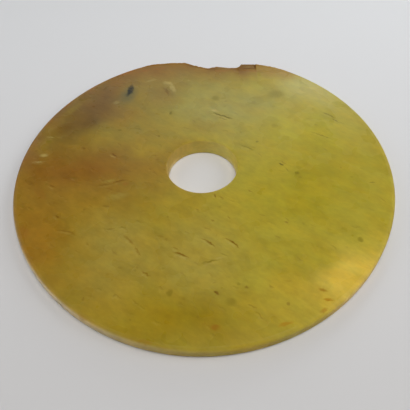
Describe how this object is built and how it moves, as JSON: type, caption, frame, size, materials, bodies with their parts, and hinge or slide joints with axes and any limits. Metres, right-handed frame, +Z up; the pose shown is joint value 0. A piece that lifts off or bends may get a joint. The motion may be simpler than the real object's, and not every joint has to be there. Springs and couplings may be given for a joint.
{
  "type": "bi disc",
  "caption": "Flat polished stone ring with a small round bore, thicker at the bore than at the rim, with an old break and flake scar on one stretch of the rim.",
  "frame": {"origin": "middle of the footprint's bounding box, on the flat underside that the disc lies on", "axes": "+Z up through the thickness, along the bore; +Y towards the broken stretch of rim; +X to the right as seen from the whole side"},
  "size_m": [0.1494, 0.1492, 0.0068],
  "materials": {
    "stone": "smooth satin polish on cloudy yellow-green stone with brown staining"
  },
  "bodies": {
    "root": {"bi_disc": "stone"}
  },
  "joints": []
}
